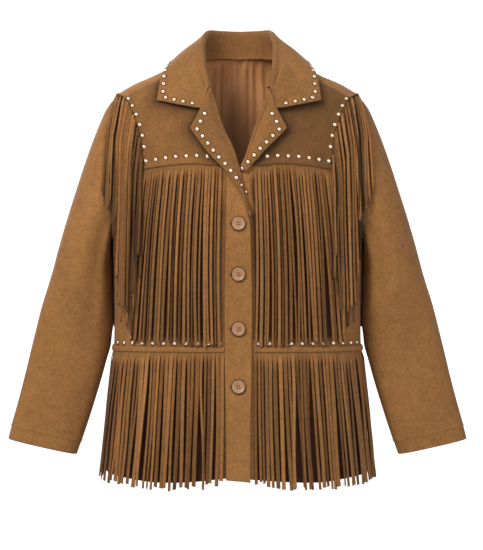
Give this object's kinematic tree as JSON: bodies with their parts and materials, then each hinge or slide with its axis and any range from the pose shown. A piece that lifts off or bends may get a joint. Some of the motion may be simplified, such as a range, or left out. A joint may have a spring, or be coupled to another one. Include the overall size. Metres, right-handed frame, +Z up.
{
  "type": "fringed buckskin jacket",
  "caption": "Golden-brown suede jacket with notched collar, button front, studded yokes, and long fringe at the yokes, armholes and waist.",
  "frame": {"origin": "middle of the neck opening, level with the sides of the neck", "axes": "+X to the wearer's left, +Y to the back, +Z up; the front faces -Y"},
  "size_m": [0.775, 0.2483, 0.7724],
  "materials": {
    "suede": "matte golden-brown suede",
    "fringe_suede": "matte golden-brown suede, cut in strands",
    "lining": "smooth light brown lining",
    "button": "tan, low sheen"
  },
  "bodies": {
    "root": {"back": "suede", "back_yoke": "suede", "neck_lining": "lining", "front_yoke_right": "suede", "front_right": "suede", "sleeve_right": "suede", "lapel_right": "suede", "front_yoke_left": "suede", "front_left": "suede", "sleeve_left": "suede", "lapel_left": "suede", "placket": "suede", "collar": "suede", "chest_fringe_right": "fringe_suede", "chest_fringe_left": "fringe_suede", "back_fringe": "fringe_suede", "armhole_fringe_right": "fringe_suede", "armhole_fringe_left": "fringe_suede", "waist_fringe_front_right": "fringe_suede", "waist_fringe_front_left": "fringe_suede", "waist_fringe_back": "fringe_suede", "waist_tape_front_right": "suede", "waist_tape_front_left": "suede", "waist_tape_back": "suede", "button_1": "button", "button_2": "button", "button_3": "button", "button_4": "button"}
  },
  "joints": []
}
